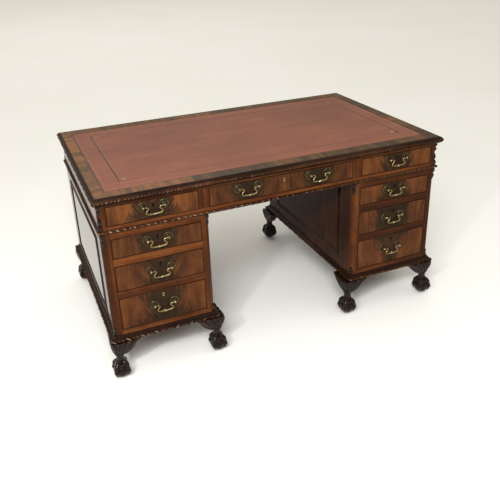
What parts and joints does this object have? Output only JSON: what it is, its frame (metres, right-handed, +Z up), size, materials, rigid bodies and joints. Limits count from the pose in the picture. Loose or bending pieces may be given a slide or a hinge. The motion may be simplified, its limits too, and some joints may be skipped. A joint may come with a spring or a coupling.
{
  "type": "pedestal writing desk with drawers",
  "caption": "Pedestal writing desk with a tooled leather top, a frieze of drawers over two drawer pedestals, carved mouldings and claw-and-ball feet.",
  "frame": {"origin": "on the floor, under the centre of the desk", "axes": "+X to the right as seen by a person who opens the drawers, -Y towards that person, +Z up"},
  "size_m": [1.5499, 0.9378, 0.787],
  "materials": {
    "mahogany": "french polished, semi-gloss",
    "flame_veneer": "french polished flame veneer",
    "dark_carving": "dark polished carving",
    "drawer_lining": "bare and lightly waxed",
    "tooled_leather": "satin, blind and gold tooled",
    "antique_brass": "aged, rubbed bright on the high points"
  },
  "bodies": {
    "root": {"carved_top_edge": "dark_carving", "frieze_back": "mahogany", "frieze_drawer_supports": "drawer_lining", "frieze_ends": "mahogany", "frieze_front_frame": "mahogany", "leather_writing_surface": "tooled_leather", "left_pedestal_back": "mahogany", "left_pedestal_drawer_runners": "drawer_lining", "left_pedestal_feet": "dark_carving", "left_pedestal_front_frame": "mahogany", "left_pedestal_inner_side": "mahogany", "left_pedestal_outer_side": "mahogany", "left_pedestal_plinth": "dark_carving", "pedestal_top_boards": "drawer_lining", "right_pedestal_back": "mahogany", "right_pedestal_drawer_runners": "drawer_lining", "right_pedestal_feet": "dark_carving", "right_pedestal_front_frame": "mahogany", "right_pedestal_inner_side": "mahogany", "right_pedestal_outer_side": "mahogany", "right_pedestal_plinth": "dark_carving", "top_board": "mahogany", "waist_moulding": "dark_carving"},
    "centre_drawer": {"centre_drawer_front": "flame_veneer", "centre_drawer_box": "drawer_lining", "centre_drawer_fittings": "antique_brass"},
    "centre_drawer_left_handle": {"centre_drawer_left_handle": "antique_brass"},
    "centre_drawer_right_handle": {"centre_drawer_right_handle": "antique_brass"},
    "left_frieze_drawer": {"left_frieze_drawer_front": "flame_veneer", "left_frieze_drawer_box": "drawer_lining", "left_frieze_drawer_fittings": "antique_brass"},
    "left_frieze_drawer_handle": {"left_frieze_drawer_handle": "antique_brass"},
    "left_upper_drawer": {"left_upper_drawer_front": "flame_veneer", "left_upper_drawer_box": "drawer_lining", "left_upper_drawer_fittings": "antique_brass"},
    "left_upper_drawer_handle": {"left_upper_drawer_handle": "antique_brass"},
    "left_middle_drawer": {"left_middle_drawer_front": "flame_veneer", "left_middle_drawer_box": "drawer_lining", "left_middle_drawer_fittings": "antique_brass"},
    "left_middle_drawer_handle": {"left_middle_drawer_handle": "antique_brass"},
    "left_lower_drawer": {"left_lower_drawer_front": "flame_veneer", "left_lower_drawer_box": "drawer_lining", "left_lower_drawer_fittings": "antique_brass"},
    "left_lower_drawer_handle": {"left_lower_drawer_handle": "antique_brass"},
    "right_frieze_drawer": {"right_frieze_drawer_front": "flame_veneer", "right_frieze_drawer_box": "drawer_lining", "right_frieze_drawer_fittings": "antique_brass"},
    "right_frieze_drawer_handle": {"right_frieze_drawer_handle": "antique_brass"},
    "right_upper_drawer": {"right_upper_drawer_front": "flame_veneer", "right_upper_drawer_box": "drawer_lining", "right_upper_drawer_fittings": "antique_brass"},
    "right_upper_drawer_handle": {"right_upper_drawer_handle": "antique_brass"},
    "right_middle_drawer": {"right_middle_drawer_front": "flame_veneer", "right_middle_drawer_box": "drawer_lining", "right_middle_drawer_fittings": "antique_brass"},
    "right_middle_drawer_handle": {"right_middle_drawer_handle": "antique_brass"},
    "right_lower_drawer": {"right_lower_drawer_front": "flame_veneer", "right_lower_drawer_box": "drawer_lining", "right_lower_drawer_fittings": "antique_brass"},
    "right_lower_drawer_handle": {"right_lower_drawer_handle": "antique_brass"}
  },
  "joints": [
    {"name": "centre_drawer_slide", "type": "slide", "parent": "root", "child": "centre_drawer", "axis": [0, -1, 0], "range_m": [0, 0.38]},
    {"name": "centre_drawer_left_handle_swing", "type": "hinge", "parent": "centre_drawer", "child": "centre_drawer_left_handle", "pos_m": [-0.156, -0.45, 0.721], "axis": [-1, 0, 0], "range_deg": [0, 95]},
    {"name": "centre_drawer_right_handle_swing", "type": "hinge", "parent": "centre_drawer", "child": "centre_drawer_right_handle", "pos_m": [0.156, -0.45, 0.721], "axis": [-1, 0, 0], "range_deg": [0, 95]},
    {"name": "left_frieze_drawer_slide", "type": "slide", "parent": "root", "child": "left_frieze_drawer", "axis": [0, -1, 0], "range_m": [0, 0.38]},
    {"name": "left_frieze_drawer_handle_swing", "type": "hinge", "parent": "left_frieze_drawer", "child": "left_frieze_drawer_handle", "pos_m": [-0.537, -0.45, 0.721], "axis": [-1, 0, 0], "range_deg": [0, 95]},
    {"name": "left_upper_drawer_slide", "type": "slide", "parent": "root", "child": "left_upper_drawer", "axis": [0, -1, 0], "range_m": [0, 0.4]},
    {"name": "left_upper_drawer_handle_swing", "type": "hinge", "parent": "left_upper_drawer", "child": "left_upper_drawer_handle", "pos_m": [-0.533, -0.45, 0.584], "axis": [-1, 0, 0], "range_deg": [0, 95]},
    {"name": "left_middle_drawer_slide", "type": "slide", "parent": "root", "child": "left_middle_drawer", "axis": [0, -1, 0], "range_m": [0, 0.4]},
    {"name": "left_middle_drawer_handle_swing", "type": "hinge", "parent": "left_middle_drawer", "child": "left_middle_drawer_handle", "pos_m": [-0.533, -0.45, 0.452], "axis": [-1, 0, 0], "range_deg": [0, 95]},
    {"name": "left_lower_drawer_slide", "type": "slide", "parent": "root", "child": "left_lower_drawer", "axis": [0, -1, 0], "range_m": [0, 0.4]},
    {"name": "left_lower_drawer_handle_swing", "type": "hinge", "parent": "left_lower_drawer", "child": "left_lower_drawer_handle", "pos_m": [-0.533, -0.45, 0.297], "axis": [-1, 0, 0], "range_deg": [0, 95]},
    {"name": "right_frieze_drawer_slide", "type": "slide", "parent": "root", "child": "right_frieze_drawer", "axis": [0, -1, 0], "range_m": [0, 0.38]},
    {"name": "right_frieze_drawer_handle_swing", "type": "hinge", "parent": "right_frieze_drawer", "child": "right_frieze_drawer_handle", "pos_m": [0.537, -0.45, 0.721], "axis": [-1, 0, 0], "range_deg": [0, 95]},
    {"name": "right_upper_drawer_slide", "type": "slide", "parent": "root", "child": "right_upper_drawer", "axis": [0, -1, 0], "range_m": [0, 0.4]},
    {"name": "right_upper_drawer_handle_swing", "type": "hinge", "parent": "right_upper_drawer", "child": "right_upper_drawer_handle", "pos_m": [0.533, -0.45, 0.584], "axis": [-1, 0, 0], "range_deg": [0, 95]},
    {"name": "right_middle_drawer_slide", "type": "slide", "parent": "root", "child": "right_middle_drawer", "axis": [0, -1, 0], "range_m": [0, 0.4]},
    {"name": "right_middle_drawer_handle_swing", "type": "hinge", "parent": "right_middle_drawer", "child": "right_middle_drawer_handle", "pos_m": [0.533, -0.45, 0.452], "axis": [-1, 0, 0], "range_deg": [0, 95]},
    {"name": "right_lower_drawer_slide", "type": "slide", "parent": "root", "child": "right_lower_drawer", "axis": [0, -1, 0], "range_m": [0, 0.4]},
    {"name": "right_lower_drawer_handle_swing", "type": "hinge", "parent": "right_lower_drawer", "child": "right_lower_drawer_handle", "pos_m": [0.533, -0.45, 0.297], "axis": [-1, 0, 0], "range_deg": [0, 95]}
  ]
}
